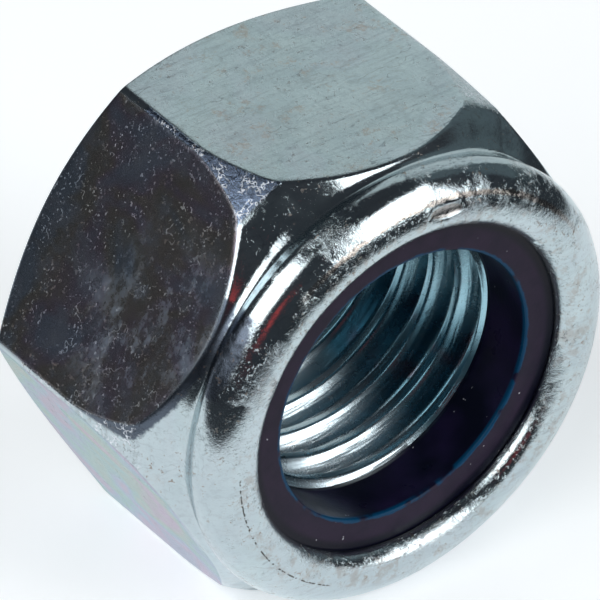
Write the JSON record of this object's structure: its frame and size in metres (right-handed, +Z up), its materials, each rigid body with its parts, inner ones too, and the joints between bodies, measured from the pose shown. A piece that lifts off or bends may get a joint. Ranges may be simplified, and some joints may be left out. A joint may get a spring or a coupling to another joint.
{
  "type": "nylon insert lock nut",
  "caption": "Hexagon prevailing-torque nut with a crimped collar that holds a nylon ring round the top of its thread.",
  "frame": {"origin": "on the surface that the nut lies on, below the middle of the thread axis", "axes": "-Y along the thread axis, out of the nylon end; +Z up, out of the flat opposite the one it lies on; +X through a corner of the hexagon"},
  "size_m": [0.0276, 0.016, 0.024],
  "materials": {
    "zinc_steel": "satin, zinc plated",
    "nylon": "semi-gloss"
  },
  "bodies": {
    "root": {"nut_body": "zinc_steel", "nylon_insert": "nylon"}
  },
  "joints": []
}
